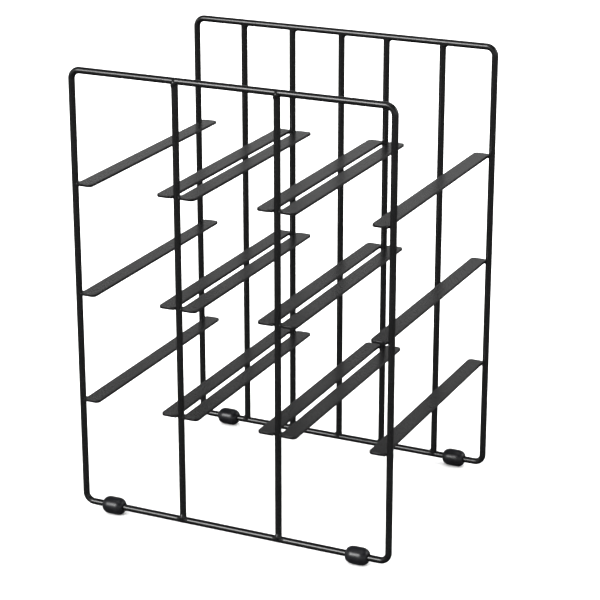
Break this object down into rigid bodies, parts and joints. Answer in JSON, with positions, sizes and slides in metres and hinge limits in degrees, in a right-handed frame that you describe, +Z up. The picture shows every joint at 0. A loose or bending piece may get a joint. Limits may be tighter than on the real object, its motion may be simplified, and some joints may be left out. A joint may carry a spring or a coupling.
{
  "type": "wire bottle rack",
  "caption": "Free-standing black wire rack: two welded wire panels joined by tiers of flat ledges that hold bottles lying down, on rubber sleeve feet.",
  "frame": {"origin": "on the surface the rack stands on, in the middle of its width and depth", "axes": "+Z up, +X to the right as seen from the front, +Y from the front panel to the back panel"},
  "size_m": [0.306, 0.248, 0.415],
  "materials": {
    "powder_coated_steel": "satin black powder coat",
    "rubber": "matt black moulded rubber"
  },
  "bodies": {
    "root": {"front_frame": "powder_coated_steel", "front_upright_left": "powder_coated_steel", "front_upright_right": "powder_coated_steel", "back_frame": "powder_coated_steel", "back_stop_left": "powder_coated_steel", "back_upright_left": "powder_coated_steel", "back_stop_middle": "powder_coated_steel", "back_upright_right": "powder_coated_steel", "back_stop_right": "powder_coated_steel", "ledge_bottom_1": "powder_coated_steel", "ledge_bottom_2": "powder_coated_steel", "ledge_bottom_3": "powder_coated_steel", "ledge_bottom_4": "powder_coated_steel", "ledge_bottom_5": "powder_coated_steel", "ledge_bottom_6": "powder_coated_steel", "ledge_middle_1": "powder_coated_steel", "ledge_middle_2": "powder_coated_steel", "ledge_middle_3": "powder_coated_steel", "ledge_middle_4": "powder_coated_steel", "ledge_middle_5": "powder_coated_steel", "ledge_middle_6": "powder_coated_steel", "ledge_top_1": "powder_coated_steel", "ledge_top_2": "powder_coated_steel", "ledge_top_3": "powder_coated_steel", "ledge_top_4": "powder_coated_steel", "ledge_top_5": "powder_coated_steel", "ledge_top_6": "powder_coated_steel", "foot_front_left": "rubber", "foot_front_right": "rubber", "foot_back_left": "rubber", "foot_back_right": "rubber"}
  },
  "joints": []
}
